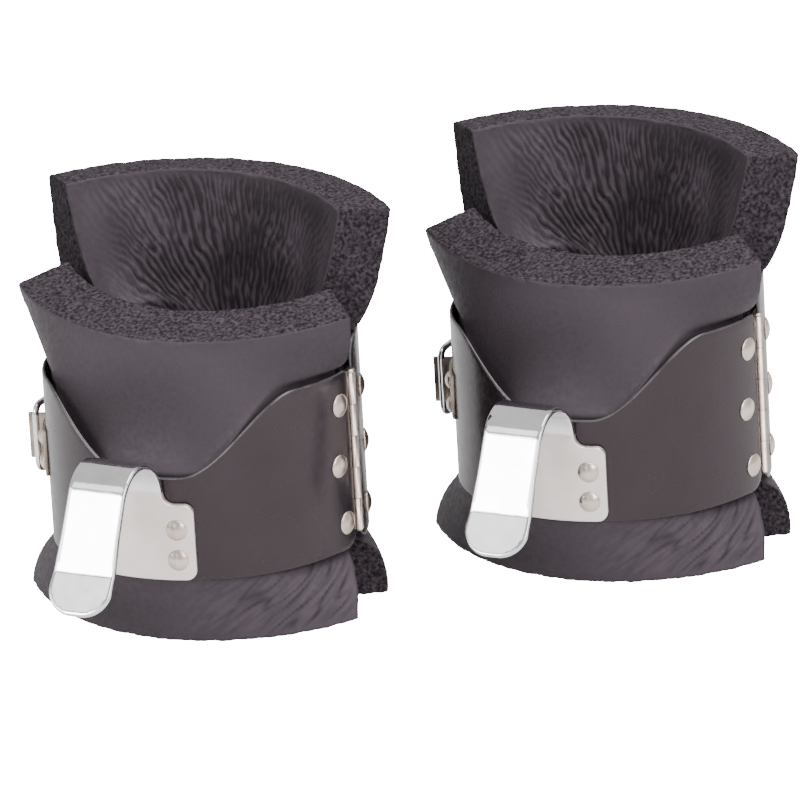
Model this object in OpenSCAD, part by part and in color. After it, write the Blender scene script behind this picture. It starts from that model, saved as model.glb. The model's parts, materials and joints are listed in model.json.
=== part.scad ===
// Pair of gravity (inversion) ankle boots: each is a hinged two-half steel cuff
// lined with thick foam, with a chromed hook in front and a toggle latch.
// Frame: +Z up, hooks towards -Y, hinges towards +X, latches towards -X.
// The origin is the centre of the pair's footprint, on the floor.

/* [Pair] */
// Sideways distance between the two boots
pair_dx = 147; // [136:1:220]
// Front-to-back distance between the two boots
pair_dy = 127.5; // [120:0.5:220]

/* [Shells] */
// Outer radius of both shell halves
shell_r = 75.3; // [74:0.1:78]
// Thickness of the sheet steel
shell_t = 1.8; // [1.5:0.1:2]
// Centre of the front half's arc, behind the split line
front_cy = 0.9; // [0:0.1:2]
// Centre of the rear half's arc, in front of the split line
rear_cy = -8.1; // [-10:0.1:-6]
// Height of the shells' bottom edge
shell_z0 = 32; // [30:1:34]
// Height of the front shell's edge behind the hook
front_dip_z = 82; // [78:1:90]
// Height of the front shell at the hinge
front_ear_hinge_z = 117.5; // [117:0.5:119]
// Height of the front shell at the latch
front_ear_latch_z = 114; // [110:1:118]
// Height of the rear shell's ears
rear_ear_z = 130; // [124:1:136]
// Height of the rear shell's edge in the middle of the back
rear_dip_z = 120; // [114:1:124]

/* [Foam] */
// Thickness of the foam
foam_t = 25; // [22:1:27]
// Height of the front pad in its middle
front_pad_h = 140.5; // [132:0.5:146]
// Height of the rear pad in its middle
rear_pad_h = 191; // [180:1:200]

/* [Hook] */
// Width of the hook strip
hook_w = 30; // [28:1:34]
// Thickness of the hook strip
hook_t = 3; // [2.5:0.5:3.5]
// Inner radius of the hook's bend
hook_r = 16; // [13:0.5:18]
// Height of the bend's centre
hook_z = 76; // [74:1:79]
// Lean of the tongue away from upright, in degrees
tongue_lean = 27; // [20:1:32]
// Lean of the lip at the tongue's end, in degrees
lip_lean = 38; // [30:1:45]

/* [Hinge] */
// Length of the hinge
hinge_len = 76; // [70:1:78]
// Height of the hinge's lower end
hinge_z0 = 39; // [37:1:41]
// Radius of the knuckles
knuckle_r = 2.3; // [2.2:0.1:2.5]
// Thickness of the hinge leaves
leaf_t = 1.6; // [1.2:0.1:1.6]

/* [Latch] */
// Radius of the bail's wire
wire_r = 1.6; // [1.4:0.1:1.7]
// Height of the latch's middle
latch_z = 74.75; // [72:0.25:78]

/* [Hidden] */
$fn = 64;

// Gap between metal faces that touch, and running clearance of the pins
touch = 0.02;
running = 0.05;
// How far a face is set in or a cut goes on, so that no two faces only graze
inset = 0.2;
bite = 0.1;
overcut = 1;

// Shell edges: each rise is given by its start and its extent in degrees from the
// middle of the dip; the halves stop short of the split line
latch_rise_a = [2, 46];
hinge_rise_a = [16, 44];
rear_rise_a = [15, 45];
edge_a = 60;
shell_corner_r = 8;
hinge_ear_r = 4;
rear_ear_r = 10;
clear_z = 200;
hinge_edge_gap = 2.7;
latch_edge_gap = 1;
hinge_x = 75.2;
pin_r = 1.2;
knuckles = 5;
knuckle_gap = 0.2;
knuckle_room_gap = 0.4;
leaf_gap = 0.25;
pin_out = 1;
pin_head_r = 2.1;
pin_head_h = 1.2;
leaf_r = shell_r - shell_t - touch;

// Rivets: places along the arcs are angles from the split line
rivet_r = 2.2;
head_r = 5.4;
head_h = 2.1;
tail_r = 3.4;
tail_h = 0.9;
tail_gap = 0.1;
rivet_cut = 4;
rivet_root = 0.5;
hinge_rivet_z = [6, 34.5, 63];
front_leaf_rivet_a = [8.4, 11, 8.8];
rear_leaf_rivet_a = [21, 25, 21];
front_leaf_end_a = 21;
rear_leaf_end_a = 32;

// Hook plate and its rivets
plate_half_w = 28.5;
plate_half_a = 35;
plate_z0 = 33.5;
plate_z1 = 70;
plate_corner_r = 5;
plate_shoulder_r = 4;
neck_fillet_r = 5;
hook_head_r = 4.9;
hook_head_h = 2.3;
hook_rivet_a = 15.2;
hook_rivet_z = [43.4, 57.9];
hook_gap = 0.3;
hook_y = front_cy - shell_r - hook_gap - hook_t - hook_r;
tongue_len = 35.5;
lip_len = 20;
lip_corner_r = 13;
tongue_root = 0.5;

// Latch: angles are from the split line, around each half's arc centre
plate_t = 1.6;
catch_h = 22;
catch_a = [13.6, 34];
catch_wall_a = [13.6, 14.7];
catch_tip_r = 86;
catch_rivet_a = 28;
catch_rivet_dz = 6;
latch_head_r = 4;
latch_head_h = 2.2;
bail_h = 31.5;
bail_front_r = 5;
bail_rear_r = 1.8;
bar = [-77.7, -23.6];
pivot = [-79.5, 10];
throw = 8.7;
throw_a = 5.5;
bail_end = pivot + throw * [sin(throw_a), cos(throw_a)];
lever_h = 26.7;
lever_t = 1.6;
lever_inner_r = 66.1;
lever_c = [-20.1, rear_cy];
lever_a = [19, 60];
lever_web_a = [31, 57];
lever_web = 3;
lever_lip_r = 9;
lever_lip_a = 42;
lever_tip = lever_c + (lever_inner_r + lever_t + lever_lip_r) * [-cos(lever_a[1]), sin(lever_a[1])];
eye_r = 3.4;
eye_steps = 12;
wall_steps = 36;
bail_eye_r = 3.2;
bail_eye_a = [60, -10];
base_h = 22.7;
base_a = [11.5, 40];
base_rivet_a = 33;
base_rivet_dz = 6;
base_ear = [[-70, 6.6], [-60, 24], [-66, 30], [-74.5, 20]];
base_eye_a = [100, 270];
pin_end = 0.4;

// Foam pads: half angle, half length of the middle surface and apex inset, each
// given in the shell, at the top edge and at the bottom edge
front_pad_a = [88, 46, 52.7];
front_pad_len = [88.3, 86, 87];
front_pad_y = [-71.1, -53.4, -66.5];
rear_pad_a = [80, 46, 56];
rear_pad_len = [80.3, 89.3, 82];
rear_pad_y = [63, 62, 59];
// Heights above which a pad opens out: latch end, middle, hinge end; the middle
// height holds up to u = 0.25 and the ends' from u = 0.65
front_pad_open_z = [115, 84, 118.5];
rear_pad_open_z = [131, 122, 131];
open_u = [0.25, 0.4];
// How quickly it opens above and below the shell
front_pad_power = [0.5, 2.5];
rear_pad_power = [0.42, 4];
front_pad_rise = 7.5;
rear_pad_rise = -4;
front_pad_crown = 7;
rear_pad_crown = 2.5;
// How far the corners of the bottom edge stand off the floor
front_pad_lift = 4;
rear_pad_lift = 2;
pad_cols = 22;
pad_rows = [5, 2, 7];
row_power = 1.5;

// Half of the pair's footprint is set by the hook's lip in front and the rear
// shell's apex behind; sideways both boots end in equal pad corners
lip_fold = hook_t * tan((lip_lean - tongue_lean) / 2);
lip_front_y = hook_y - (hook_r + hook_t) * cos(tongue_lean)
    - (tongue_len - lip_fold) * sin(tongue_lean) - (lip_len - lip_fold) * sin(lip_lean);
rear_apex_y = rear_cy + shell_r;
left_at = [-pair_dx / 2, -(lip_front_y + rear_apex_y + pair_dy) / 2, 0];
right_at = left_at + [pair_dx, pair_dy, 0];

function unit(s) = min(1, max(0, s));
function ease(s) = let (c = unit(s)) c * c * (3 - 2 * c);
function rise(a, range) = ease((a - range[0]) / range[1]);
function on_circle(c, r, a) = c + r * [cos(a), sin(a)];
function arc(c, r, a0, a1, n = 6) = [for (i = [0:n]) on_circle(c, r, a0 + (a1 - a0) * i / n)];

module left_boot() translate(left_at) children();
module right_boot() translate(right_at) children();

// Part of a ring around [0, cy], between two angles from +X and two heights
module ring_sector(cy, r0, r1, a0, a1, z0, z1) {
    translate([0, cy, z0])
        rotate([0, 0, a0])
            rotate_extrude(angle = a1 - a0, $fn = 180)
                translate([r0, 0])
                    square([r1 - r0, z1 - z0]);
}

// Stands its children on the ring's surface at angle a from +X, +Z outwards
module on_ring(cy, a, z, r) {
    translate([0, cy, z])
        rotate([0, 0, a])
            translate([r, 0, 0])
                rotate([0, 90, 0])
                    children();
}

module rivet(grip, r = head_r, h = head_h) {
    ball_r = (r * r + h * h) / (2 * h);
    translate([0, 0, touch])
        intersection() {
            translate([0, 0, h - ball_r])
                sphere(r = ball_r);
            cylinder(r = r, h = h);
        }
    translate([0, 0, -grip - tail_gap])
        cylinder(r = rivet_r - running, h = grip + tail_gap + touch + rivet_root);
    translate([0, 0, -grip - tail_gap - tail_h])
        cylinder(r = tail_r, h = tail_h);
}

module rivet_hole(depth) {
    translate([0, 0, -depth])
        cylinder(r = rivet_r, h = 2 * depth);
}

module at_hinge_rivets(cy, angles, sign, r) {
    for (i = [0:2])
        on_ring(cy, sign * angles[i], hinge_z0 + hinge_rivet_z[i], r)
            children();
}

module at_hook_rivets(r) {
    for (side = [-1, 1], z = hook_rivet_z)
        on_ring(front_cy, -90 + side * hook_rivet_a, z, r)
            children();
}

module at_catch_rivets(r) {
    for (dz = [-catch_rivet_dz, catch_rivet_dz])
        on_ring(front_cy, 180 + catch_rivet_a, latch_z + dz, r)
            children();
}

module at_base_rivets(r) {
    for (dz = [-base_rivet_dz, base_rivet_dz])
        on_ring(rear_cy, 180 - base_rivet_a, latch_z + dz, r)
            children();
}

// Takes off a square corner that lies on the X axis, with the metal at +Y and +Z
module corner_cut(r, depth) {
    translate([-depth / 2, 0, 0])
        difference() {
            translate([0, -overcut, -overcut])
                cube([depth, r + overcut, r + overcut]);
            translate([-overcut, r - bite, r - bite])
                rotate([0, 90, 0])
                    cylinder(r = r, h = depth + 2 * overcut);
        }
}

// Rounds a shell's corner at angle a and height z
module shell_corner(cy, a, z, side, up, r) {
    translate([0, cy, z])
        rotate([0, 0, a])
            translate([shell_r, 0, 0])
                mirror([0, side > 0 ? 0 : 1, 0])
                    mirror([0, 0, up > 0 ? 0 : 1])
                        corner_cut(r, 4 * shell_t);
}

front_hinge_a = -asin((front_cy + hinge_edge_gap) / shell_r);
front_latch_a = -180 + asin((front_cy + latch_edge_gap) / shell_r);
rear_hinge_a = asin((hinge_edge_gap - rear_cy) / shell_r);
rear_latch_a = 180 - asin((latch_edge_gap - rear_cy) / shell_r);
arc_steps = 48;

// Top edge of the front shell, by angle from the front: a dip behind the hook
// that rises to an ear at each side
function front_edge_z(a) = a > 0
    ? front_dip_z + (front_ear_hinge_z - front_dip_z) * rise(a, hinge_rise_a)
    : front_dip_z + (front_ear_latch_z - front_dip_z) * rise(-a, latch_rise_a);

function rear_edge_z(a) = rear_dip_z + (rear_ear_z - rear_dip_z) * rise(abs(a), rear_rise_a);

// Front view of all that lies above a shell's top edge
module above_edge(edge) {
    first = edge[0];
    last = edge[len(edge) - 1];
    polygon(concat([[-shell_r - overcut, first[1]]], edge, [[shell_r + overcut, last[1]],
        [shell_r + overcut, clear_z], [-shell_r - overcut, clear_z]]));
}

module front_shell() {
    color("#2b2a2d")
        difference() {
            ring_sector(front_cy, shell_r - shell_t, shell_r, front_latch_a, front_hinge_a,
                shell_z0, front_ear_hinge_z + overcut);
            rotate([90, 0, 0])
                linear_extrude(2 * shell_r)
                    above_edge([for (i = [0:arc_steps])
                        let (a = edge_a * (2 * i / arc_steps - 1))
                        [shell_r * sin(a), front_edge_z(a)]]);
            shell_corner(front_cy, front_hinge_a, shell_z0, -1, 1, shell_corner_r);
            shell_corner(front_cy, front_hinge_a, front_ear_hinge_z, -1, -1, hinge_ear_r);
            shell_corner(front_cy, front_latch_a, shell_z0, 1, 1, shell_corner_r);
            shell_corner(front_cy, front_latch_a, front_ear_latch_z, 1, -1, shell_corner_r);
            at_hinge_rivets(front_cy, -front_leaf_rivet_a, 1, shell_r)
                rivet_hole(rivet_cut);
            at_hook_rivets(shell_r)
                rivet_hole(rivet_cut);
            at_catch_rivets(shell_r)
                rivet_hole(rivet_cut);
        }
}

module rear_shell() {
    color("#2b2a2d")
        difference() {
            ring_sector(rear_cy, shell_r - shell_t, shell_r, rear_hinge_a, rear_latch_a,
                shell_z0, rear_ear_z + overcut);
            translate([0, 2 * shell_r, 0])
                rotate([90, 0, 0])
                    linear_extrude(2 * shell_r)
                        above_edge([for (i = [0:arc_steps])
                            let (a = edge_a * (2 * i / arc_steps - 1))
                            [shell_r * sin(a), rear_edge_z(a)]]);
            shell_corner(rear_cy, rear_hinge_a, rear_ear_z, 1, -1, rear_ear_r);
            shell_corner(rear_cy, rear_latch_a, rear_ear_z, -1, -1, rear_ear_r);
            shell_corner(rear_cy, rear_hinge_a, shell_z0, 1, 1, shell_corner_r);
            shell_corner(rear_cy, rear_latch_a, shell_z0, -1, 1, shell_corner_r);
            at_hinge_rivets(rear_cy, rear_leaf_rivet_a, 1, shell_r)
                rivet_hole(rivet_cut);
            at_base_rivets(shell_r)
                rivet_hole(rivet_cut);
        }
}

// A foam pad is a bent sheet: its middle surface keeps its length while the
// bend opens out above and below the shell, as springy foam does.
// side is -1 for the front pad and 1 for the rear one.
function pad_value(v, top, bottom) = v[0] + (v[1] - v[0]) * top + (v[2] - v[0]) * bottom;

function open_z(u, heights) =
    heights[1] + (heights[u < 0 ? 0 : 2] - heights[1]) * rise(abs(u), open_u);

function pad_point(side, u, z, skin, states, heights, powers, top_z) =
    let (z1 = open_z(u, heights))
    let (top = pow(unit((z - z1) / (top_z - z1)), powers[0]))
    let (bottom = 1 - pow(1 - unit((shell_z0 - z) / shell_z0), powers[1]))
    let (half_a = pad_value(states[0], top, bottom))
    let (mid_r = pad_value(states[1], top, bottom) / (half_a * PI / 180))
    let (outer_r = mid_r + foam_t / 2)
    let (cy = pad_value(states[2], top, bottom) - side * outer_r)
    let (r = outer_r - foam_t * skin)
    [r * sin(half_a * u), cy + side * r * cos(half_a * u)];

// Height of row j of the pad's mesh: rows are closest at the shell's edges
function row_z(j, z0, z1, top_z) = let (low = pad_rows[0], mid = pad_rows[1], high = pad_rows[2])
    j < low ? shell_z0 - (shell_z0 - z0) * pow((low - j) / low, row_power)
    : j < low + mid ? shell_z0 + (z1 - shell_z0) * (j - low) / mid
    : z1 + (top_z - z1) * pow((j - low - mid) / high, row_power);

module foam_pad(side, h, rise, crown, lift, states, heights, powers) {
    cols = pad_cols;
    rows = pad_rows[0] + pad_rows[1] + pad_rows[2];
    rings = [for (j = [0:rows], k = [0:2 * cols + 1])
        let (skin = k > cols ? 1 : 0)
        let (u = -1 + 2 * (skin == 1 ? 2 * cols + 1 - k : k) / cols)
        let (top_z = h + rise * u * u)
        let (z = row_z(j, lift * u * u, open_z(u, heights), top_z))
        let (p = pad_point(side, u, z, skin, states, heights, powers, top_z))
        [p[0], p[1], z * (1 + skin * crown / top_z)]];
    n = 2 * cols + 2;
    walls = [for (j = [0:rows - 1], k = [0:n - 1])
        let (m = (k + 1) % n)
        each [[j * n + k, j * n + m, (j + 1) * n + m],
              [j * n + k, (j + 1) * n + m, (j + 1) * n + k]]];
    caps = [for (k = [0:cols - 1])
        let (m = n - 1 - k)
        let (t = rows * n)
        each [[k, m, k + 1], [k + 1, m, m - 1],
              [t + k, t + k + 1, t + m], [t + k + 1, t + m - 1, t + m]]];
    faces = [for (f = concat(walls, caps)) side < 0 ? [f[2], f[1], f[0]] : f];
    polyhedron(rings, faces);
}

module front_pad() {
    color("#56535a")
        foam_pad(-1, front_pad_h, front_pad_rise, front_pad_crown, front_pad_lift,
            [front_pad_a, front_pad_len, front_pad_y], front_pad_open_z, front_pad_power);
}

module rear_pad() {
    color("#504d54")
        foam_pad(1, rear_pad_h, rear_pad_rise, rear_pad_crown, rear_pad_lift,
            [rear_pad_a, rear_pad_len, rear_pad_y], rear_pad_open_z, rear_pad_power);
}

// Front view of the hook's plate: two wings below a narrower neck
function half_plate_outline() = let (neck = hook_w / 2 - inset) concat(
    arc([plate_half_w - plate_corner_r, plate_z0 + plate_corner_r], plate_corner_r, -90, 0),
    arc([plate_half_w - plate_shoulder_r, plate_z1 - plate_shoulder_r], plate_shoulder_r, 0, 90),
    arc([neck + neck_fillet_r, plate_z1 + neck_fillet_r], neck_fillet_r, -90, -180),
    [[neck, hook_z - overcut]]);

function mirrored(points) = [for (i = [len(points) - 1:-1:0]) [-points[i][0], points[i][1]]];

module hook_plate() {
    intersection() {
        ring_sector(front_cy, shell_r + touch, shell_r + hook_t, -90 - plate_half_a,
            -90 + plate_half_a, plate_z0 - overcut, hook_z);
        rotate([90, 0, 0])
            linear_extrude(2 * shell_r)
                polygon(concat(half_plate_outline(), mirrored(half_plate_outline())));
    }
    translate([-hook_w / 2, hook_y + hook_r, plate_z1 - neck_fillet_r])
        cube([hook_w, hook_t, hook_z - plate_z1 + neck_fillet_r]);
}

// Side view of the tongue and its lip, from the bend's end at [hook_r, 0]; its
// root tapers a little way into the bend
module hook_tongue() {
    turn = lip_lean - tongue_lean;
    along = [sin(turn), cos(turn)];
    across = [cos(turn), -sin(turn)];
    knee = [hook_r, tongue_len];
    translate([0, hook_y, hook_z])
        rotate([180 - tongue_lean, 0, 0])
            difference() {
                translate([bite - hook_w / 2, 0, 0])
                    rotate([90, 0, 90])
                        linear_extrude(hook_w - 2 * bite)
                            polygon([[hook_r, tongue_root], [hook_r + inset, -tongue_root],
                                [hook_r + hook_t - inset, -tongue_root],
                                [hook_r + hook_t, tongue_root],
                                [hook_r + hook_t, tongue_len - lip_fold],
                                knee + lip_len * along + hook_t * across,
                                knee + lip_len * along, knee]);
                translate([0, knee[0], knee[1]])
                    rotate([-turn, 0, 0])
                        for (side = [0, 1])
                            mirror([side, 0, 0])
                                translate([hook_w / 2, hook_t / 2, lip_len])
                                    rotate([180, 0, -90])
                                        corner_cut(lip_corner_r, 4 * hook_t);
            }
}

module hook() {
    color("#e4e2e0")
        difference() {
            union() {
                hook_plate();
                translate([0, hook_y, hook_z])
                    rotate([90, 0, 90])
                        rotate_extrude(angle = 180 - tongue_lean)
                            translate([hook_r, -hook_w / 2])
                                square([hook_t, hook_w]);
                hook_tongue();
            }
            at_hook_rivets(shell_r + hook_t)
                rivet_hole(2 * rivet_cut);
        }
}

module hook_rivets() {
    color("#d8cfc4")
        at_hook_rivets(shell_r + hook_t)
            rivet(hook_t + shell_t, hook_head_r, hook_head_h);
}

// Knuckles of one leaf: every second one, starting at index first
module knuckle_row(first) {
    pitch = hinge_len / knuckles;
    for (i = [first:2:knuckles - 1])
        translate([hinge_x, 0, hinge_z0 + i * pitch + knuckle_gap / 2])
            cylinder(r = knuckle_r, h = pitch - knuckle_gap);
}

// Room that a leaf leaves for the other leaf's knuckles
module knuckle_room(first) {
    pitch = hinge_len / knuckles;
    for (i = [first:2:knuckles - 1])
        translate([hinge_x, 0, hinge_z0 + i * pitch - knuckle_gap / 2])
            cylinder(r = knuckle_r + knuckle_room_gap, h = pitch + knuckle_gap);
}

module hinge_leaf(cy, side, first, end_a, rivet_a) {
    start_a = asin((leaf_gap + inset - side * cy) / leaf_r);
    color("#b9b2a8")
        difference() {
            union() {
                ring_sector(cy, leaf_r - leaf_t, leaf_r, min(side * start_a, side * end_a),
                    max(side * start_a, side * end_a), hinge_z0, hinge_z0 + hinge_len);
                translate([leaf_r - leaf_t + inset, side > 0 ? leaf_gap : -leaf_gap - leaf_t,
                    hinge_z0])
                    cube([hinge_x - leaf_r + leaf_t - inset, leaf_t, hinge_len]);
                knuckle_row(first);
            }
            knuckle_room(1 - first);
            translate([hinge_x, 0, hinge_z0 - pin_out])
                cylinder(r = pin_r + running, h = hinge_len + 2 * pin_out);
            at_hinge_rivets(cy, side * rivet_a, 1, leaf_r)
                rivet_hole(rivet_cut);
        }
}

module hinge_front_leaf() {
    hinge_leaf(front_cy, -1, 0, front_leaf_end_a, front_leaf_rivet_a);
}

module hinge_rear_leaf() {
    hinge_leaf(rear_cy, 1, 1, rear_leaf_end_a, rear_leaf_rivet_a);
}

module hinge_pin() {
    color("#a39c92")
        translate([hinge_x, 0, hinge_z0 - pin_out]) {
            cylinder(r = pin_r, h = hinge_len + 2 * pin_out);
            translate([0, 0, hinge_len + pin_out + touch])
                cylinder(r = pin_head_r, h = pin_head_h);
        }
}

module hinge_front_rivets() {
    color("#d2c6ba")
        at_hinge_rivets(front_cy, -front_leaf_rivet_a, 1, shell_r)
            rivet(shell_t + leaf_t + touch);
}

module hinge_rear_rivets() {
    color("#d2c6ba")
        at_hinge_rivets(rear_cy, rear_leaf_rivet_a, 1, shell_r)
            rivet(shell_t + leaf_t + touch);
}

// The catch is a riveted plate with an upright wall that holds the bail
module catch() {
    z0 = latch_z - catch_h / 2;
    z1 = latch_z + catch_h / 2;
    color("#8d8580")
        difference() {
            union() {
                ring_sector(front_cy, shell_r + touch, shell_r + plate_t, 180 + catch_a[0],
                    180 + catch_a[1], z0, z1);
                ring_sector(front_cy, shell_r + touch, catch_tip_r, 180 + catch_wall_a[0],
                    180 + catch_wall_a[1], z0, z1);
            }
            at_catch_rivets(shell_r)
                rivet_hole(rivet_cut);
        }
}

module catch_rivets() {
    color("#a08d7c")
        at_catch_rivets(shell_r + plate_t)
            rivet(plate_t + shell_t, latch_head_r, latch_head_h);
}

// Base of the lever: a riveted plate with an ear above and below
module lever_base() {
    z0 = latch_z - base_h / 2;
    color("#b7b4b0")
        difference() {
            union() {
                ring_sector(rear_cy, shell_r + touch, shell_r + plate_t, 180 - base_a[1],
                    180 - base_a[0], z0, z0 + base_h);
                difference() {
                    for (z = [z0 + inset, z0 + base_h - plate_t - inset])
                        translate([0, 0, z])
                            linear_extrude(plate_t)
                                polygon(concat(arc(pivot, eye_r, base_eye_a[0], base_eye_a[1], eye_steps),
                                    base_ear));
                    translate([0, rear_cy, 0])
                        cylinder(r = shell_r + plate_t / 2, h = clear_z, $fn = 180);
                }
            }
            translate([pivot[0], pivot[1], 0])
                cylinder(r = wire_r + running, h = clear_z);
            at_base_rivets(shell_r)
                rivet_hole(rivet_cut);
        }
}

module lever_base_rivets() {
    color("#cfc9c2")
        at_base_rivets(shell_r + plate_t)
            rivet(plate_t + shell_t, latch_head_r, latch_head_h);
}

// Top view of the lever's wall: it follows the shell and curls outwards at the
// tip; angles run back from -X
function lever_wall() =
    let (a0 = 180 - lever_a[0], a1 = 180 - lever_a[1], steps = eye_steps)
    let (curl0 = lever_lip_a / steps - lever_a[1], curl1 = lever_lip_a - lever_a[1])
    concat(arc(lever_c, lever_inner_r + lever_t, a0, a1, wall_steps),
        arc(lever_tip, lever_lip_r, curl0, curl1, steps - 1),
        arc(lever_tip, lever_lip_r + lever_t, curl1, curl0, steps - 1),
        arc(lever_c, lever_inner_r, a1, a0, wall_steps));

// Top view of the lever's upper and lower webs, with the two eyes
function lever_side() =
    let (a0 = 180 - lever_a[0] - inset, a1 = 180 - lever_web_a[1], a2 = 180 - lever_web_a[0])
    concat(arc(lever_c, lever_inner_r + lever_t / 2, a0, a1, wall_steps),
        arc(lever_c, lever_inner_r - lever_web, a1, a2, wall_steps),
        arc(bail_end, bail_eye_r, bail_eye_a[0], bail_eye_a[1], eye_steps),
        arc(pivot, eye_r, 0, -180, eye_steps));

module lever() {
    z0 = latch_z - lever_h / 2;
    color("#d5d3d1")
        difference() {
            union() {
                translate([0, 0, z0])
                    linear_extrude(lever_h)
                        polygon(lever_wall());
                for (z = [z0 + inset, z0 + lever_h - lever_t - inset])
                    translate([0, 0, z])
                        linear_extrude(lever_t)
                            polygon(lever_side());
            }
            for (p = [pivot, bail_end])
                translate([p[0], p[1], 0])
                    cylinder(r = wire_r + running, h = clear_z);
        }
}

module lever_pin() {
    color("#a39c92")
        translate([pivot[0], pivot[1], latch_z - lever_h / 2 - pin_end])
            cylinder(r = wire_r, h = lever_h + 2 * pin_end);
}

// Quarter bend of the bail's wire
module wire_bend(r) {
    rotate_extrude(angle = 90)
        translate([r, 0])
            circle(r = wire_r);
}

// The bail is one closed loop of wire in an upright plane
module bail() {
    run = bail_end - bar;
    length = norm(run);
    color("#e2e0de")
        translate([bar[0], bar[1], latch_z])
            rotate([0, 0, atan2(run[1], run[0])])
                rotate([90, 0, 0])
                    for (flip = [0, 1])
                        mirror([0, flip, 0]) {
                            translate([bail_front_r, bail_h / 2, 0])
                                rotate([0, 90, 0])
                                    cylinder(r = wire_r, h = length - bail_front_r - bail_rear_r);
                            rotate([-90, 0, 0])
                                cylinder(r = wire_r, h = bail_h / 2 - bail_front_r);
                            translate([length, 0, 0])
                                rotate([-90, 0, 0])
                                    cylinder(r = wire_r, h = bail_h / 2 - bail_rear_r);
                            translate([bail_front_r, bail_h / 2 - bail_front_r, 0])
                                rotate([0, 0, 90])
                                    wire_bend(bail_front_r);
                            translate([length - bail_rear_r, bail_h / 2 - bail_rear_r, 0])
                                wire_bend(bail_rear_r);
                        }
}

left_boot() front_shell();  // left_front_shell
left_boot() rear_shell();  // left_rear_shell
left_boot() front_pad();  // left_front_pad
left_boot() rear_pad();  // left_rear_pad
left_boot() hook();  // left_hook
left_boot() hook_rivets();  // left_hook_rivets
left_boot() hinge_front_leaf();  // left_hinge_front_leaf
left_boot() hinge_rear_leaf();  // left_hinge_rear_leaf
left_boot() hinge_pin();  // left_hinge_pin
left_boot() hinge_front_rivets();  // left_hinge_front_rivets
left_boot() hinge_rear_rivets();  // left_hinge_rear_rivets
left_boot() catch();  // left_catch
left_boot() catch_rivets();  // left_catch_rivets
left_boot() lever_base();  // left_lever_base
left_boot() lever_base_rivets();  // left_lever_base_rivets
left_boot() lever();  // left_lever
left_boot() lever_pin();  // left_lever_pin
left_boot() bail();  // left_bail
right_boot() front_shell();  // right_front_shell
right_boot() rear_shell();  // right_rear_shell
right_boot() front_pad();  // right_front_pad
right_boot() rear_pad();  // right_rear_pad
right_boot() hook();  // right_hook
right_boot() hook_rivets();  // right_hook_rivets
right_boot() hinge_front_leaf();  // right_hinge_front_leaf
right_boot() hinge_rear_leaf();  // right_hinge_rear_leaf
right_boot() hinge_pin();  // right_hinge_pin
right_boot() hinge_front_rivets();  // right_hinge_front_rivets
right_boot() hinge_rear_rivets();  // right_hinge_rear_rivets
right_boot() catch();  // right_catch
right_boot() catch_rivets();  // right_catch_rivets
right_boot() lever_base();  // right_lever_base
right_boot() lever_base_rivets();  // right_lever_base_rivets
right_boot() lever();  // right_lever
right_boot() lever_pin();  // right_lever_pin
right_boot() bail();  // right_bail
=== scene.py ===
"""A pair of gravity boots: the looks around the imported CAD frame.

The foam pads, the painted shells, the hooks and the rivets are built here as meshes.
The hinges and latches are the CAD's own, with bevels and plated finishes.
Sizes are in millimetres in each boot's own frame, as in the CAD source.
"""

import json
import math

import bpy
import numpy as np
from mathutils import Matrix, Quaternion, Vector
from mathutils.geometry import delaunay_2d_cdt

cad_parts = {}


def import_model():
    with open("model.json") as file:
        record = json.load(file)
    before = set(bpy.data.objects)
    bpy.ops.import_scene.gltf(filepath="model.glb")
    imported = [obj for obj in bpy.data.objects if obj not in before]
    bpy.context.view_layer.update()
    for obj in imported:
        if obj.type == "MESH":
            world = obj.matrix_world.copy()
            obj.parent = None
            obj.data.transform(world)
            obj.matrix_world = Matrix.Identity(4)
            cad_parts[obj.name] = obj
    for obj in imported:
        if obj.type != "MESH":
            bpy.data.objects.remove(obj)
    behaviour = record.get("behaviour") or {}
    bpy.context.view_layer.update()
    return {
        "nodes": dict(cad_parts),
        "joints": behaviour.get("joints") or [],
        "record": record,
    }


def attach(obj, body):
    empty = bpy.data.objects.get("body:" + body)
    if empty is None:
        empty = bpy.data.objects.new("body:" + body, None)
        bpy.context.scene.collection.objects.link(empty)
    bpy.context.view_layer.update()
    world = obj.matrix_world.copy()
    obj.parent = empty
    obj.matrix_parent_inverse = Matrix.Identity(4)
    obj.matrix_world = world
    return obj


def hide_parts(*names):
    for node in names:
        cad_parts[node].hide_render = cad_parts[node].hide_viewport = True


MM = 0.001
SIDES = ("left", "right")

# Shells
SHELL_R = 75.3
SHELL_T = 1.8
SHELL_Z0 = 32.0
FRONT_CY = 0.9
REAR_CY = -8.1
FRONT_DIP_Z = 82.0
FRONT_HINGE_Z = 117.5
FRONT_LATCH_Z = 114.0
REAR_EAR_Z = 130.0
REAR_DIP_Z = 120.0
HINGE_X = 75.2

# Each shell's centre, the way it bulges, its half angles and its upper corners' radii (latch, hinge)
SHELLS = {
    "front": dict(cy=FRONT_CY, side=-1, ends=(88.55, 87.26), corners=(8, 4)),
    "rear": dict(cy=REAR_CY, side=1, ends=(83.06, 81.75), corners=(10, 10)),
}

# Hook: the strip's length is measured up from the plate's lower edge
HOOK_T = 3.0
HOOK_HALF_W = 15.0
PLATE_HALF_W = 28.5
PLATE_Z0 = 33.5
PLATE_H = 36.5
BEND_Y = -93.7
BEND_Z = 76.0
BEND_R = 17.5
TONGUE_LEAN = 27.0
TONGUE_LEN = 35.5
LIP_LEAN = 38.0
LIP_LEN = 20.0

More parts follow.
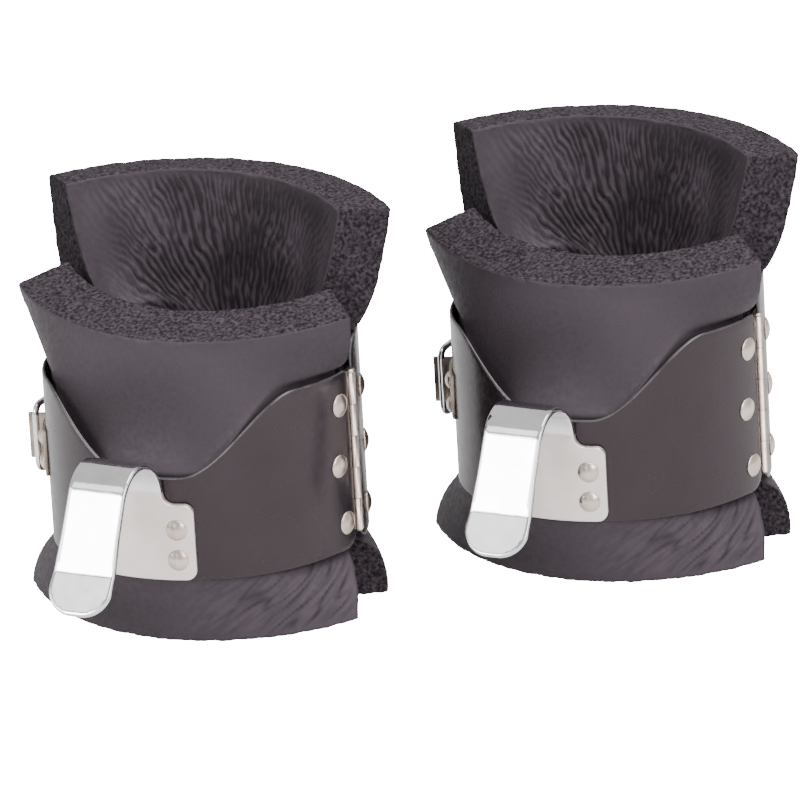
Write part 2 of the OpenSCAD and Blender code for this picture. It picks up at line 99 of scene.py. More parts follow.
# Foam: half angle, half length and apex inset, each in the shell, at the top and at the bottom;
# open_z is where a pad begins to open out: at the latch end, in the middle and at the hinge end
FOAM_T = 25.0
PADS = {
    "front_pad": dict(
        side=-1, height=140.5, rise=7.5, crown=7.0, lift=4.0,
        open_z=(115, 84, 118.5), power=(0.5, 2.5), angle=(88, 46, 52.7),
        half=(88.3, 86, 87), apex=(-71.1, -53.4, -66.5),
    ),
    "rear_pad": dict(
        side=1, height=191.0, rise=-4.0, crown=2.5, lift=2.0,
        open_z=(131, 122, 131), power=(0.42, 4), angle=(80, 46, 56),
        half=(80.3, 89.3, 82), apex=(63, 62, 59),
    ),
}

# The ridges inside a pad: their gap at RIDGE_RAY from the fan's centre, and the ratio of one level
# of ridges to the next
RIDGE_GAP = 3.2
RIDGE_RAY = 110
RIDGE_STEP = 1.6
FOLD_TILT = 42

# Rivet heads: radius and height by node
HEADS = {
    "hook_rivets": (4.9, 2.3),
    "hinge_front_rivets": (5.4, 2.1),
    "hinge_rear_rivets": (5.4, 2.1),
    "catch_rivets": (4, 2.2),
    "lever_base_rivets": (4, 2.2),
}
HINGE_RIVET_Z = (45, 73.5, 102)
HINGE_FRONT_A = (8.4, 11, 8.8)
HINGE_REAR_A = (21, 25, 21)
HOOK_RIVET_A = 15.2
HOOK_RIVET_Z = (43.4, 57.9)
LATCH_RIVET_Z = (68.75, 80.75)
LATCH_PLATE_T = 1.6
CATCH_A = 208
LEVER_BASE_A = 147

# Bevel on the sharp edges of the CAD nodes
EDGE_BEVEL = 0.25

# Camera and lights, in metres, watts and degrees
CAMERA_AIM = (-0.0009, 0.0252, 0.0832)
CAMERA_AZIMUTH, CAMERA_ELEVATION, CAMERA_ROLL = 27.2, 19.0, 3.34
CAMERA_DISTANCE = 4.0
CAMERA_LENS = 389
LIGHTS = (
    ("key", (-1.1, -2.15, 1.25), (2.4, 1.0), 30),
    ("tongue_card", (-1.04, -1.92, 1.24), (0.6, 0.5), 12),
    ("lip_card", (-1.04, -1.33, 1.84), (0.6, 0.5), 1.7),
    ("fill", (2.1, -1.1, 1.5), (1.4, 1.4), 46),
    ("top", (0.5, 0.15, 2.1), (1.5, 1.5), 44),
)
SKY_STRENGTH = 0.8
FLOOR_GLOW = 25.0
FLOOR_HALF = 6.0


# ---------------------------------------------------------------- helpers


def ease(s):
    s = np.clip(s, 0, 1)
    return s * s * (3 - 2 * s)


def noise2(x, y, seed):
    """Smooth gradient noise, about -1 to 1."""
    turn = np.random.default_rng(seed).random((256, 256)) * 2 * math.pi
    xi, yi = np.floor(x).astype(int), np.floor(y).astype(int)
    fx, fy = x - xi, y - yi

    def corner(dx, dy):
        a = turn[(xi + dx) % 256, (yi + dy) % 256]
        return np.cos(a) * (fx - dx) + np.sin(a) * (fy - dy)

    u, v = (f * f * f * (f * (f * 6 - 15) + 10) for f in (fx, fy))
    low = corner(0, 0) * (1 - u) + corner(1, 0) * u
    high = corner(0, 1) * (1 - u) + corner(1, 1) * u
    return (low * (1 - v) + high * v) * 1.5


def creases(n, width):
    """Narrow valleys along the lines where a noise field is zero."""
    return -np.exp(-((n / width) ** 2))


def vertex_normals(points, quads):
    p, q, r, s = (points[quads[:, k]] for k in range(4))
    face = np.cross(r - p, s - q)
    total = np.zeros_like(points)
    for k in range(4):
        np.add.at(total, quads[:, k], face)
    return total / np.maximum(np.linalg.norm(total, axis=1), 1e-9)[:, None]


def boot_origin(frame, side):
    """The boot frame's origin, from the hinge axis."""
    joint = next(j for j in frame["joints"] if j["name"] == f"{side}_hinge")
    return np.array([joint["pos_m"][0] - HINGE_X * MM, joint["pos_m"][1], 0.0])


def add_piece(name, points, faces, origin, body, nodes, materials, face_material=None):
    """A smooth mesh piece from points in the boot's frame, in mm."""
    mesh = bpy.data.meshes.new(name)
    vertices = (np.asarray(points) * MM + origin).tolist()
    mesh.from_pydata(vertices, [], [list(map(int, f)) for f in faces])
    for m in materials:
        mesh.materials.append(m)
    if face_material is not None:
        mesh.polygons.foreach_set("material_index", np.asarray(face_material, np.int32))
    mesh.polygons.foreach_set("use_smooth", np.ones(len(mesh.polygons), bool))
    mesh.validate()
    piece = bpy.data.objects.new(name, mesh)
    bpy.context.scene.collection.objects.link(piece)
    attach(piece, body)
    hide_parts(*nodes)
    return piece


# ---------------------------------------------------------------- foam pads


def pad_map(pad, a, z, w):
    """From the flat pad (along, up, through, in mm) to the bent one, as in the CAD source."""
    u = a / pad["half"][0]
    top_z = pad["height"] + pad["rise"] * u * u
    s = z / pad["height"]
    z = s * top_z
    z = z + pad["lift"] * u * u * np.clip(1 - z / SHELL_Z0, 0, 1)

    latch, middle, hinge = pad["open_z"]
    open_z = middle + (np.where(u < 0, latch, hinge) - middle) * ease((abs(u) - 0.25) / 0.4)
    above, below = pad["power"]
    top = np.clip((z - open_z) / (top_z - open_z), 0, 1) ** above
    bottom = 1 - (1 - np.clip((SHELL_Z0 - z) / SHELL_Z0, 0, 1)) ** below

    def value(v):
        return v[0] + (v[1] - v[0]) * top + (v[2] - v[0]) * bottom

    half_a = np.radians(value(pad["angle"]))
    outer_r = value(pad["half"]) / half_a + FOAM_T / 2
    r = outer_r - w
    y = value(pad["apex"]) - pad["side"] * outer_r + pad["side"] * r * np.cos(half_a * u)
    return np.stack([r * np.sin(half_a * u), y, z + w / FOAM_T * pad["crown"] * s], 1)


def ruler(length, step):
    """Places along an edge, close together at both ends for the rounded corners."""
    ends = np.array([0, 0.3, 0.7, 1.2, 1.8, 2.6])
    count = round((length - 2 * ends[-1]) / step)
    middle = np.linspace(ends[-1], length - ends[-1], count + 1)[1:-1]
    return np.concatenate([ends, middle, length - ends[::-1]])


def block_surface(shape):
    """Lattice points on a block's surface, its quads, and 0 for a skin quad or 1 for a cut one."""
    inside = np.zeros(shape, bool)
    inside[1:-1, 1:-1, 1:-1] = True
    index = np.full(shape, -1)
    index[~inside] = np.arange((~inside).sum())
    quads, tags = [], []
    for axis in range(3):
        for end in (0, -1):
            grid = np.take(index, end, axis=axis)
            if (end == 0) == (axis != 1):
                grid = grid.T
            corners = [grid[:-1, :-1], grid[1:, :-1], grid[1:, 1:], grid[:-1, 1:]]
            quads.append(np.stack(corners, -1).reshape(-1, 4))
            tags.append(np.full(len(quads[-1]), 0 if axis == 2 else 1))
    return np.argwhere(~inside), np.concatenate(quads), np.concatenate(tags)


def below_shell(z):
    """0 on the foam behind the shell, rising to 1 on the foam that shows under it."""
    return ease((SHELL_Z0 + 3 - z) / 10)


def fanned_ridges(pad, a, z):
    """Ridges that fan out from the middle of the pad and split as they spread."""
    rise = np.maximum(z - pad["height"] * 0.42, 15)
    ray = np.hypot(a, rise)
    sway = 1.1 * noise2(a / 6, z / 9, 3) + 3 * noise2(a / 20, z / 24, 4)
    turn = 2 * math.pi / RIDGE_GAP * RIDGE_RAY * (np.arctan2(a, rise) + sway / ray)
    level = np.log(ray / RIDGE_RAY) / math.log(RIDGE_STEP)
    low = np.floor(level)
    mix = ease(level - low)
    coarse = np.cos(turn * RIDGE_STEP**low + 2 * low)
    fine = np.cos(turn * RIDGE_STEP ** (low + 1) + 2 * low + 2)
    swell = coarse * (1 - mix) + fine * mix
    joins = noise2(a / 2.6, z / 7, 5)
    return np.tanh(2.8 * (swell + 1.1 * joins)) * 0.42 + 0.1 * noise2(a / 1.5, z / 2.6, 6)


def inner_wrinkles(pad, a, z):
    """Relief of the skin that faces the ankle: ridged at the latch end, smoother at the hinge."""
    start = a + pad["half"][0] - 8 - 10 * noise2(z / 30, a / 60, 7)
    worn = ease(start / 30) * (1 - 0.75 * ease((a - 15) / 45))
    return fanned_ridges(pad, a, z) * (0.1 + 0.9 * worn) + 0.5 * noise2(a / 26, z / 34, 8)


def outer_folds(pad, a, z):
    """Relief of the skin that faces the shell: almost smooth, with slanting folds low down."""
    tilt = math.radians(FOLD_TILT)
    along = a * math.cos(tilt) + z * math.sin(tilt)
    across = z * math.cos(tilt) - a * math.sin(tilt)
    folds = np.tanh(2.4 * noise2(along / 13, across / 1.7, 11)) * 0.2
    folds = folds + creases(noise2(along / 24, across / 4.5, 12), 0.15) * 0.5
    shown = below_shell(z) * ease((a * -pad["side"] - 5) / 50)
    return 0.3 * noise2(a / 50, z / 45, 13) + shown * folds


def skin_relief(pad, a, z, w):
    """How far the skins stand in or out, in mm."""
    return np.where(w > FOAM_T / 2, inner_wrinkles(pad, a, z), outer_folds(pad, a, z))


def foam_shade(pad, a, z, w, relief, on_skin):
    """Painted light and shade for the foam's colour: painted shade in the valleys, inside and on the
    ends, painted light low on the outside.
    """
    inner, outer = w > FOAM_T - 1e-6, w < 1e-6
    low = below_shell(z) * ease((a * -pad["side"] + 5) / 60)
    # Painted shade in the skin's valleys, lighter on the ridges, and painted light on the outer skin
    # low down.
    shade = np.where(on_skin, relief, 0) + np.where(outer, 0.25 * low, 0)
    # Painted shade on the inner skin, darker towards the hinge end.
    shade = shade - np.where(inner, 0.2 * ease((a + 45) / 70), 0)
    # Painted shade on the cut ends, darker at the latch end.
    ends = np.where(a < 1 - pad["half"][0], 0.3, np.where(a > pad["half"][0] - 1, 0.1, 0))
    return shade - np.where(on_skin, 0, ends)


def foam_pad(side, name, origin, materials):
    pad = PADS[name]
    size = np.array([2 * pad["half"][0], pad["height"], FOAM_T])
    rulers = [ruler(size[0], 0.6), ruler(size[1], 1.2), ruler(size[2], 1.0)]
    lattice, quads, tags = block_surface([len(r) for r in rulers])
    flat = np.stack([rulers[k][lattice[:, k]] for k in range(3)], 1)
    edge = 1.3
    core = np.clip(flat, edge, size - edge)
    out = flat - core
    flat = core + out * (edge / np.maximum(np.linalg.norm(out, axis=1), 1e-9))[:, None]
    a, z, w = flat[:, 0] - pad["half"][0], flat[:, 1], flat[:, 2]
    points = pad_map(pad, a, z, w)
    if pad["side"] > 0:
        quads = quads[:, ::-1]
    normals = vertex_normals(points, quads)
    margin = np.minimum.reduce([size[0] / 2 - abs(a), z, size[1] - z])
    on_skin = np.minimum(w, FOAM_T - w) < 1e-6
    pores = noise2(a / 1.9 + w / 2.3, z / 1.9 - w / 2.1, 21) * 0.25
    pores = pores + noise2((a + w) / 7, (z + w) / 7, 22) * 0.4
    relief = np.where(on_skin, skin_relief(pad, a, z, w) * ease(margin / 9), pores)
    points = points + normals * relief[:, None]
    body = f"{side}_{name.split('_')[0]}_half"
    piece = add_piece(
        f"{side}_{name}_foam", points, quads, origin, body, [f"{side}_{name}"],
        materials, tags,
    )
    # The foam's painted light and shade, kept as a point attribute that the foam materials read.
    depth = piece.data.attributes.new("depth", "FLOAT", "POINT")
    shade = foam_shade(pad, a, z, w, relief, on_skin)
    depth.data.foreach_set("value", shade.astype(np.float32))
    return piece


# ---------------------------------------------------------------- sheet metal


def resample(outline, step):
    """The closed outline with no gap between points longer than step."""
    found = []
    for p, q in zip(outline, np.roll(outline, -1, 0)):
        n = max(1, math.ceil(np.linalg.norm(q - p) / step))
        found.extend(p + (q - p) * k / n for k in range(n))
    keep = [found[0]]
    for p in found[1:]:
        if np.linalg.norm(p - keep[-1]) > 0.25 * step:
            keep.append(p)
    return np.array(keep)


def arc(cx, cy, r, a0, a1, n=12):
    t = np.radians(np.linspace(a0, a1, n + 1))
    return np.stack([cx + r * np.cos(t), cy + r * np.sin(t)], 1)


def pressed_sheet(outline, thickness, edge, step, shape):
    """A sheet cut to an anticlockwise outline, with rounded edges, bent by shape(points, offset)."""
    ahead, behind = np.roll(outline, -1, 0), np.roll(outline, 1, 0)
    tangent = ahead - behind
    tangent /= np.linalg.norm(tangent, axis=1)[:, None]
    inward = np.stack([-tangent[:, 1], tangent[:, 0]], 1)
    n = len(outline)
    inner = outline + inward * edge
    lo, hi = outline.min(0), outline.max(0)
    spans = [np.arange(lo[k], hi[k], step) for k in range(2)]
    grid = np.stack(np.meshgrid(*spans), -1).reshape(-1, 2)
    ends = np.roll(inner, -1, 0)
    px, py = grid[:, :1], grid[:, 1:]
    crossing = (inner[:, 1] > py) != (ends[:, 1] > py)
    rise = np.where(ends[:, 1] == inner[:, 1], 1e-9, ends[:, 1] - inner[:, 1])
    slope = (ends[:, 0] - inner[:, 0]) / rise
    within = (crossing & (px < inner[:, 0] + (py - inner[:, 1]) * slope)).sum(1) % 2 == 1
    clear = np.min(np.linalg.norm(grid[:, None] - inner[None], axis=2), 1) > 0.6 * step
    flat = np.concatenate([inner, grid[within & clear]])
    rim = [(i, (i + 1) % n) for i in range(n)]
    found = delaunay_2d_cdt([Vector(p) for p in flat], rim, [list(range(n))], 1, 1e-6)
    flat = np.array([tuple(p) for p in found[0]])
    origin_of = {o: i for i, os in enumerate(found[3]) for o in os}
    ring_index = [origin_of[i] for i in range(n)]
    faces = [list(f) for f in found[2]]
    count = len(flat)
    layers = [(flat, np.full(count, thickness / 2)), (flat, np.full(count, -thickness / 2))]
    all_faces = faces + [[v + count for v in reversed(f)] for f in faces]
    rings = [np.array(ring_index)]
    start = 2 * count
    turns = [60, 30, 0] + ([0] if thickness / 2 - edge > 1e-6 else []) + [-30, -60]
    upper = 1
    for k, t in enumerate(turns):
        if t < 0 or (t == 0 and k > 0 and turns[k - 1] == 0):
            upper = -1
        c, s = math.cos(math.radians(t)), math.sin(math.radians(abs(t)))
        offset = upper * (thickness / 2 - edge + edge * s)
        layers.append((outline + inward * edge * (1 - c), np.full(n, offset)))
        rings.append(np.arange(start, start + n))
        start += n
    rings.append(np.array(ring_index) + count)
    for a, b in zip(rings, rings[1:]):
        for i in range(n):
            j = (i + 1) % n
            all_faces.append([a[i], b[i], b[j], a[j]])
    points = np.concatenate([shape(p, o) for p, o in layers])
    return points, all_faces


def bent(middle):
    """Turns a middle surface into shape(points, offset), offset along its normal."""

    def shape(p, offset):
        h = 0.02
        du = middle(p + [h, 0]) - middle(p - [h, 0])
        dv = middle(p + [0, h]) - middle(p - [0, h])
        n = np.cross(du, dv)
        n /= np.linalg.norm(n, axis=1)[:, None]
        return middle(p) + n * np.asarray(offset)[:, None]

    return shape


def shell_outline(half_a, half_b, top, r_top_a, r_top_b):
    """Unrolled shell: from -half_a to half_b degrees, with the top edge given by angle."""
    per = math.radians(1) * (SHELL_R - SHELL_T / 2)
    a, b, r = -half_a * per, half_b * per, 8
    za, zb = float(top(-half_a)), float(top(half_b))
    sweep = np.linspace(half_b - r_top_b / per, -half_a + r_top_a / per, 160)
    return np.concatenate([
        arc(a + r, SHELL_Z0 + r, r, 180, 270),
        arc(b - r, SHELL_Z0 + r, r, 270, 360),
        arc(b - r_top_b, zb - r_top_b, r_top_b, 0, 90),
        np.stack([sweep * per, top(sweep)], 1)[1:-1],
        arc(a + r_top_a, za - r_top_a, r_top_a, 90, 180),
    ])


def front_top(a):
    hinge = FRONT_DIP_Z + (FRONT_HINGE_Z - FRONT_DIP_Z) * ease((a - 16) / 44)
    latch = FRONT_DIP_Z + (FRONT_LATCH_Z - FRONT_DIP_Z) * ease((-a - 2) / 46)
    return np.where(a > 0, hinge, latch)


def rear_top(a):
    return REAR_DIP_Z + (REAR_EAR_Z - REAR_DIP_Z) * ease((abs(a) - 15) / 45)


def shell(side, half, origin, materials):
    plan = SHELLS[half]
    cy, sign = plan["cy"], plan["side"]
    radius = SHELL_R - SHELL_T / 2
    (half_a, half_b), (r_a, r_b) = plan["ends"], plan["corners"]
    top = front_top if half == "front" else rear_top
    outline = shell_outline(half_a, half_b, top, r_a, r_b)

    def place(p, offset):
        t = p[:, 0] / radius
        r = radius + offset
        return np.stack([r * np.sin(t), cy + sign * r * np.cos(t), p[:, 1]], 1)

    points, faces = pressed_sheet(resample(outline, 1.3), SHELL_T, SHELL_T / 2, 2.6, place)
    # Faces of the upper rim take the second material, the painted highlight.
    rim = [upper_rim(points[f], cy) for f in faces]
    if half == "rear":
        faces = [f[::-1] for f in faces]
    return add_piece(
        f"{side}_{half}_cuff", points, faces, origin, f"{side}_{half}_half",
        [f"{side}_{half}_shell"], materials, np.array(rim, int),
    )


def upper_rim(corners, cy):
    """Whether a face is part of a shell's upper edge, outside of its middle surface."""
    x, y, z = corners.mean(0)
    across = np.ptp(np.hypot(corners[:, 0], corners[:, 1] - cy))
    return z > SHELL_Z0 + 20 and across > 0.1 and math.hypot(x, y - cy) > SHELL_R - SHELL_T / 2


def hook_outline():
    """The hook's blank before bending: wings, neck, strip and rounded lip; x across, q along."""
    _, tongue, _, end = hook_lengths()
    w, neck, h = PLATE_HALF_W, HOOK_HALF_W, PLATE_H
    half = np.concatenate([
        arc(w - 5, 5, 5, -90, 0),
        arc(w - 4, h - 4, 4, 0, 90),
        arc(neck + 5, h + 5, 5, 270, 180),
        [[neck - 0.8, tongue], [neck - 0.6, tongue + 18]],
        arc(neck + 0.6 - 13, end - 13, 13, 0, 90, 18),
    ])
    other = half[::-1] * [-1, 1]
    return np.concatenate([half, other])


def hook_lengths():
    """Where along the strip the bend, the tongue and the lip begin, and where the strip ends."""
    bend = BEND_Z - PLATE_Z0
    tongue = bend + BEND_R * math.radians(180 - TONGUE_LEAN)
    lip = tongue + TONGUE_LEN
    return bend, tongue, lip, lip + LIP_LEN


def hook_middle(p):
    """Middle surface: the plate hugs the shell, and the strip flattens before the bend."""
    x, q = p[:, 0], p[:, 1]
    bend, tongue, lip, _ = hook_lengths()
    phi = np.clip(q - bend, 0, tongue - bend) / BEND_R
    y = BEND_Y + BEND_R * np.cos(phi)
    z = BEND_Z + BEND_R * np.sin(phi) + np.minimum(q - bend, 0)
    down = np.clip(q - tongue, 0, TONGUE_LEN)
    over = np.maximum(q - lip, 0)
    for run, lean in ((down, TONGUE_LEAN), (over, LIP_LEAN)):
        y = y - run * math.sin(math.radians(lean))
        z = z - run * math.cos(math.radians(lean))
    curve = (1 - ease((q - 31) / 17)) / (SHELL_R + HOOK_T / 2)
    turn = x * curve
    safe = np.maximum(curve, 1e-6)
    y = y + np.where(curve > 1e-5, (1 - np.cos(turn)) / safe, 0)
    y = y + 0.28 * (1 - ease((q - 31) / 17))
    return np.stack([np.where(curve > 1e-5, np.sin(turn) / safe, x), y, z], 1)


def hook(side, origin, materials):
    outline = resample(hook_outline(), 1.0)
    points, faces = pressed_sheet(outline, HOOK_T, 0.7, 1.5, bent(hook_middle))
    points = np.asarray(points)
    low = [points[f, 2].mean() < BEND_Z and points[f, 1].mean() > BEND_Y for f in faces]
    return add_piece(
        f"{side}_hook_strip", points, faces, origin, f"{side}_front_half", [f"{side}_hook"],
        materials, np.array(low, int),
    )


# ---------------------------------------------------------------- rivets


def rivet_head(r, h):
    """Domed head as rings of radius and height, with a short upright rim."""
    ball = (r * r + (h - 0.35) ** 2) / (2 * (h - 0.35))
    top = math.asin(min(1, r / ball))
    rings = [(r, -0.25), (r, 0.2)]
    for t in np.linspace(1, 0.06, 11):
        rings.append((ball * math.sin(top * t) * 0.995, h - ball * (1 - math.cos(top * t))))
    return rings


def rivets(side, node, places, body, origin, material):
    """places are (arc centre y, angle from +X in degrees, height, radius of the seat)."""
    r, h = HEADS[node]
    up = np.array([0, 0, 1])
    points, faces, n = [], [], 40
    spin = np.linspace(0, 2 * math.pi, n, endpoint=False)
    for cy, angle, z, seat in places:
        a = math.radians(angle)
        out = np.array([math.cos(a), math.sin(a), 0])
        across = np.array([-math.sin(a), math.cos(a), 0])
        centre = np.array([0, cy, z]) + out * seat
        start = len(points)
        rings = rivet_head(r, h)
        for radius, height in rings:
            for s in spin:
                spoke = across * math.cos(s) + up * math.sin(s)
                points.append(centre + out * height + radius * spoke)
        points.append(centre + out * h)
        for k in range(len(rings) - 1):
            for i in range(n):
                j = (i + 1) % n
                b = start + k * n
                faces.append([b + i, b + j, b + n + j, b + n + i])
        last, tip = start + (len(rings) - 1) * n, len(points) - 1
        faces += [[last + i, last + (i + 1) % n, tip] for i in range(n)]
        faces.append([start + i for i in reversed(range(n))])
    return add_piece(
        f"{side}_{node}_heads", points, faces, origin, body, [f"{side}_{node}"],
        [material],
    )


def boot_rivets(side, origin, material):
    front, rear = f"{side}_front_half", f"{side}_rear_half"
    on_hook, on_latch = SHELL_R + HOOK_T, SHELL_R + LATCH_PLATE_T
    hook = [
        (FRONT_CY, -90 + s * HOOK_RIVET_A, z, on_hook) for s in (-1, 1) for z in HOOK_RIVET_Z
    ]
    rivets(side, "hook_rivets", hook, front, origin, material)
    places = [(FRONT_CY, -a, z, SHELL_R) for a, z in zip(HINGE_FRONT_A, HINGE_RIVET_Z)]
    rivets(side, "hinge_front_rivets", places, front, origin, material)
    places = [(REAR_CY, a, z, SHELL_R) for a, z in zip(HINGE_REAR_A, HINGE_RIVET_Z)]
    rivets(side, "hinge_rear_rivets", places, rear, origin, material)
    catch = [(FRONT_CY, CATCH_A, z, on_latch) for z in LATCH_RIVET_Z]
    rivets(side, "catch_rivets", catch, front, origin, material)
    base = [(REAR_CY, LEVER_BASE_A, z, on_latch) for z in LATCH_RIVET_Z]
    rivets(side, "lever_base_rivets", base, rear, origin, material)


# ---------------------------------------------------------------- materials


class Nodes:
    """A material's node tree, with short ways to add and link nodes."""

    def __init__(self, name, **shader):
        self.material = bpy.data.materials.new(name)
        self.material.use_nodes = True
        self.tree = self.material.node_tree
        self.shader = self.tree.nodes["Principled BSDF"]
        for key, value in shader.items():
            self.shader.inputs[key.replace("_", " ")].default_value = value
        self.place = self.add("ShaderNodeTexCoord").outputs["Object"]

    def add(self, kind, **values):
        node = self.tree.nodes.new(kind)
        for key, value in values.items():
            setattr(node, key, value)
        return node

    def link(self, a, b):
        self.tree.links.new(a, b)

    def noise(self, scale, detail=2.0, stretch=None):
        node = self.add("ShaderNodeTexNoise")
        node.inputs["Scale"].default_value = scale
        node.inputs["Detail"].default_value = detail
        self.link(self.stretched(stretch), node.inputs["Vector"])
        return node.outputs["Fac"]

    def cells(self, scale):
        node = self.add("ShaderNodeTexVoronoi")
        node.inputs["Scale"].default_value = scale
        self.link(self.place, node.inputs["Vector"])
        return node.outputs["Distance"]

    def stretched(self, stretch):
        if stretch is None:
            return self.place
        node = self.add("ShaderNodeMapping")
        node.inputs["Scale"].default_value = stretch
        self.link(self.place, node.inputs["Vector"])
        return node.outputs["Vector"]

    def ramp(self, value, low, high, a, b):
        """Maps value from low..high to colours or numbers a..b."""
        node = self.add("ShaderNodeValToRGB")
        node.color_ramp.elements[0].position = low
        node.color_ramp.elements[1].position = high
        for element, c in zip(node.color_ramp.elements, (a, b)):
            element.color = (*c, 1) if hasattr(c, "__len__") else (c, c, c, 1)
        self.link(value, node.inputs["Fac"])
        return node.outputs["Color"]

    def scaled(self, value, factor, offset):
        node = self.add("ShaderNodeMath", operation="MULTIPLY_ADD")
        self.link(value, node.inputs[0])
        node.inputs[1].default_value = factor
        node.inputs[2].default_value = offset
        return node.outputs["Value"]

    def shaded(self, color):
        """The colour times a factor that follows the mesh's painted light and shade attribute."""
        depth = self.add("ShaderNodeAttribute", attribute_name="depth").outputs["Fac"]
        node = self.add("ShaderNodeVectorMath", operation="MULTIPLY")
        self.link(color, node.inputs[0])
        self.link(self.ramp(self.scaled(depth, 1.1, 0.5), 0.05, 0.95, 0.22, 1.25), node.inputs[1])
        return node.outputs["Vector"]

    def bump(self, height, distance, strength=1.0, after=None):
        node = self.add("ShaderNodeBump")
        node.inputs["Strength"].default_value = strength
        node.inputs["Distance"].default_value = distance
        self.link(height, node.inputs["Height"])
        if after is not None:
            self.link(after, node.inputs["Normal"])
        self.link(node.outputs["Normal"], self.shader.inputs["Normal"])
        return node.outputs["Normal"]

    def drive(self, name, value):
        self.link(value, self.shader.inputs[name])


def foam_skin():
    m = Nodes("foam_skin", Roughness=0.6, Specular_IOR_Level=0.38, Specular_Tint=(1, 0.86, 0.97, 1))
    tone = m.ramp(m.noise(22, 3), 0.3, 0.72, (0.042, 0.0328, 0.0402), (0.0475, 0.0372, 0.0456))
    m.drive("Base Color", m.shaded(tone))
    m.drive("Roughness", m.ramp(m.noise(420, 3), 0.35, 0.65, 0.52, 0.66))
    grain = m.bump(m.noise(1900, 3), 0.00012, 0.4)
    m.bump(m.noise(520, 2), 0.0002, 0.12, grain)
    return m.material


def foam_cut():
    m = Nodes("foam_cut", Roughness=0.95, Specular_IOR_Level=0.12)
    tone = m.ramp(m.noise(620, 4), 0.36, 0.68, (0.0155, 0.0122, 0.015), (0.092, 0.0724, 0.0887))
    m.drive("Base Color", m.shaded(tone))
    pores = m.bump(m.cells(480), 0.001, 0.5)
    m.bump(m.noise(1000, 4), 0.0007, 0.5, pores)
    return m.material


def black_enamel():
    m = Nodes("black_enamel", Roughness=0.24, Specular_IOR_Level=0.46, Specular_Tint=(1, 0.8, 0.87, 1))
    tone = m.ramp(m.noise(35, 4), 0.3, 0.7, (0.013, 0.0099, 0.0118), (0.018, 0.0139, 0.0164))
    m.drive("Base Color", tone)
    m.drive("Roughness", m.ramp(m.noise(160, 4), 0.3, 0.7, 0.18, 0.28))
    m.bump(m.noise(330, 2), 0.0004, 0.1)
    return m.material


def rim_painted_highlight():
    """Black enamel painted lighter on the shells' upper rims: a painted highlight where the top edge
    catches the light.
    """
    m = Nodes("rim_painted_highlight", Roughness=0.2, Specular_IOR_Level=0.6)
    tone = m.ramp(m.noise(120, 4), 0.3, 0.7, (0.022, 0.0195, 0.021), (0.075, 0.068, 0.072))
    m.drive("Base Color", tone)
    m.drive("Roughness", m.ramp(m.noise(160, 4), 0.3, 0.7, 0.16, 0.3))
    m.bump(m.noise(330, 2), 0.0004, 0.1)
    return m.material


def plated(name, low, high, rough_low, rough_high, dent=0.15):
    m = Nodes(name, Metallic=1.0)
    m.drive("Base Color", m.ramp(m.noise(90, 4), 0.3, 0.7, low, high))
    m.drive("Roughness", m.ramp(m.noise(260, 5), 0.3, 0.75, rough_low, rough_high))
    m.bump(m.noise(140, 2), 0.0004, dent)
    return m.material


def floor_material():
    m = Nodes("pale_floor", Roughness=0.9, Specular_IOR_Level=0.1)
    m.drive("Base Color", m.ramp(m.noise(3, 2), 0.2, 0.8, (0.86, 0.86, 0.86), (0.88, 0.88, 0.88)))
    seen = m.add("ShaderNodeLightPath").outputs["Is Camera Ray"]
    m.shader.inputs["Emission Color"].default_value = (1, 1, 1, 1)
    m.drive("Emission Strength", m.scaled(seen, FLOOR_GLOW, 0.0))
    return m.material


# ---------------------------------------------------------------- CAD nodes


def finish_node(node, material, bevel):
    """A CAD node keeps its shape; its sharp edges get a small bevel."""
    node.data.materials.clear()
    node.data.materials.append(material)
    weld = node.modifiers.new("weld", "WELD")
    weld.merge_threshold = 0.00001
    if bevel:
        cut = node.modifiers.new("bevel", "BEVEL")
        cut.width = bevel * MM
        cut.segments = 2
        cut.limit_method = "ANGLE"
        cut.angle_limit = math.radians(40)
        cut.harden_normals = True
    faces = node.data.polygons
    faces.foreach_set("use_smooth", np.ones(len(faces), bool))


# ---------------------------------------------------------------- scene


def add_camera():
    azimuth, elevation = math.radians(CAMERA_AZIMUTH), math.radians(CAMERA_ELEVATION)
    flat = math.cos(elevation)
    back = Vector((math.sin(azimuth) * flat, -math.cos(azimuth) * flat, math.sin(elevation)))
    data = bpy.data.cameras.new("camera")
    data.sensor_width = 36
    data.lens = CAMERA_LENS
    data.clip_end = 50
    camera = bpy.data.objects.new("camera", data)
    camera.location = Vector(CAMERA_AIM) + back * CAMERA_DISTANCE
    camera.rotation_mode = "QUATERNION"
    roll = Quaternion((0, 0, 1), -math.radians(CAMERA_ROLL))
    camera.rotation_quaternion = (-back).to_track_quat("-Z", "Y") @ roll
    bpy.context.scene.collection.objects.link(camera)
    bpy.context.scene.camera = camera


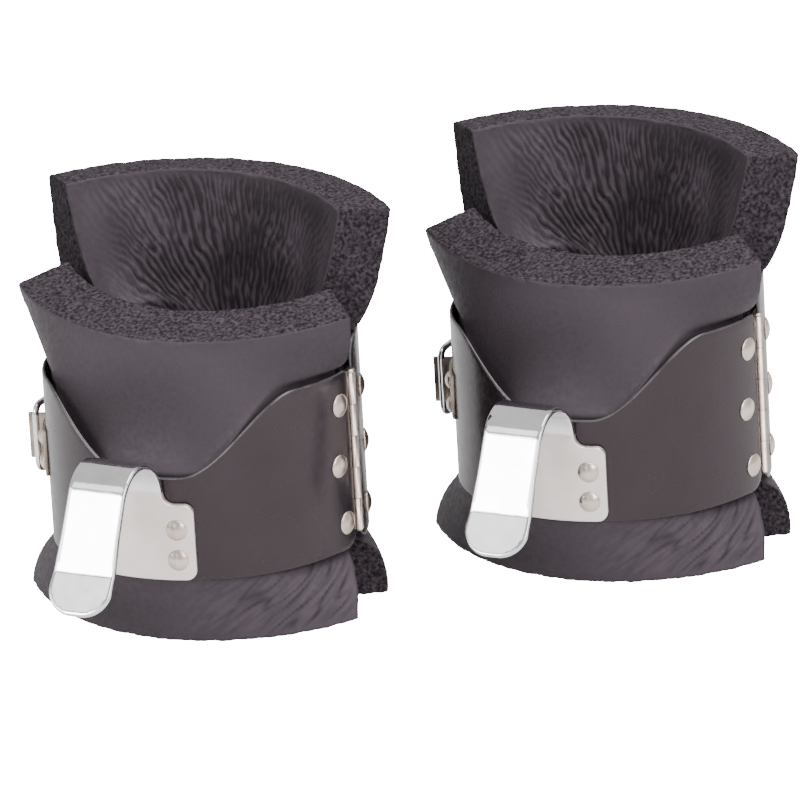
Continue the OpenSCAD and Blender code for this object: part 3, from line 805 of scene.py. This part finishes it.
def add_light(name, place, size, power, aim=(0, 0, 0.08)):
    data = bpy.data.lights.new(name, "AREA")
    data.shape = "RECTANGLE"
    data.size, data.size_y = size
    data.energy = power
    light = bpy.data.objects.new(name, data)
    light.location = place
    light.rotation_mode = "QUATERNION"
    light.rotation_quaternion = (Vector(aim) - Vector(place)).to_track_quat("-Z", "Y")
    bpy.context.scene.collection.objects.link(light)


def add_studio():
    world = bpy.data.worlds.new("studio")
    bpy.context.scene.world = world
    world.use_nodes = True
    sky = world.node_tree.nodes["Background"]
    sky.inputs["Color"].default_value = (1, 1, 1, 1)
    sky.inputs["Strength"].default_value = SKY_STRENGTH
    for light in LIGHTS:
        add_light(*light)
    mesh = bpy.data.meshes.new("floor")
    s = FLOOR_HALF
    mesh.from_pydata([(-s, -s, 0), (s, -s, 0), (s, s, 0), (-s, s, 0)], [], [(0, 1, 2, 3)])
    mesh.materials.append(floor_material())
    floor = bpy.data.objects.new("floor", mesh)
    floor.location.z = -0.0005
    bpy.context.scene.collection.objects.link(floor)


def main():
    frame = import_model()
    add_camera()
    add_studio()
    foam = [foam_skin(), foam_cut()]
    # The second enamel is the painted highlight on the shells' upper rims.
    enamel = [black_enamel(), rim_painted_highlight()]
    chrome = plated("chrome_plate", (0.74, 0.73, 0.75), (0.86, 0.85, 0.87), 0.06, 0.15)
    satin = plated("satin_plate", (0.84, 0.76, 0.72), (0.92, 0.85, 0.81), 0.42, 0.55)
    nickel = plated("nickel_plate", (0.58, 0.48, 0.42), (0.74, 0.63, 0.56), 0.24, 0.4)
    tarnished = plated("tarnished_plate", (0.2, 0.16, 0.13), (0.42, 0.36, 0.31), 0.25, 0.45)
    looks = {"hinge": nickel, "catch": tarnished, "latch": chrome, "rivet": nickel}
    slots = {p["node"]: p["material_slot"] for p in frame["record"]["subparts"]}
    for side in SIDES:
        origin = boot_origin(frame, side)
        for name in PADS:
            foam_pad(side, name, origin, foam)
        for half in ("front", "rear"):
            shell(side, half, origin, enamel)
        hook(side, origin, [chrome, satin])
        boot_rivets(side, origin, nickel)
    for name, node in frame["nodes"].items():
        if not node.hide_render:
            round_bar = name.endswith(("pin", "bail"))
            finish_node(node, looks[slots[name]], 0 if round_bar else EDGE_BEVEL)


main()
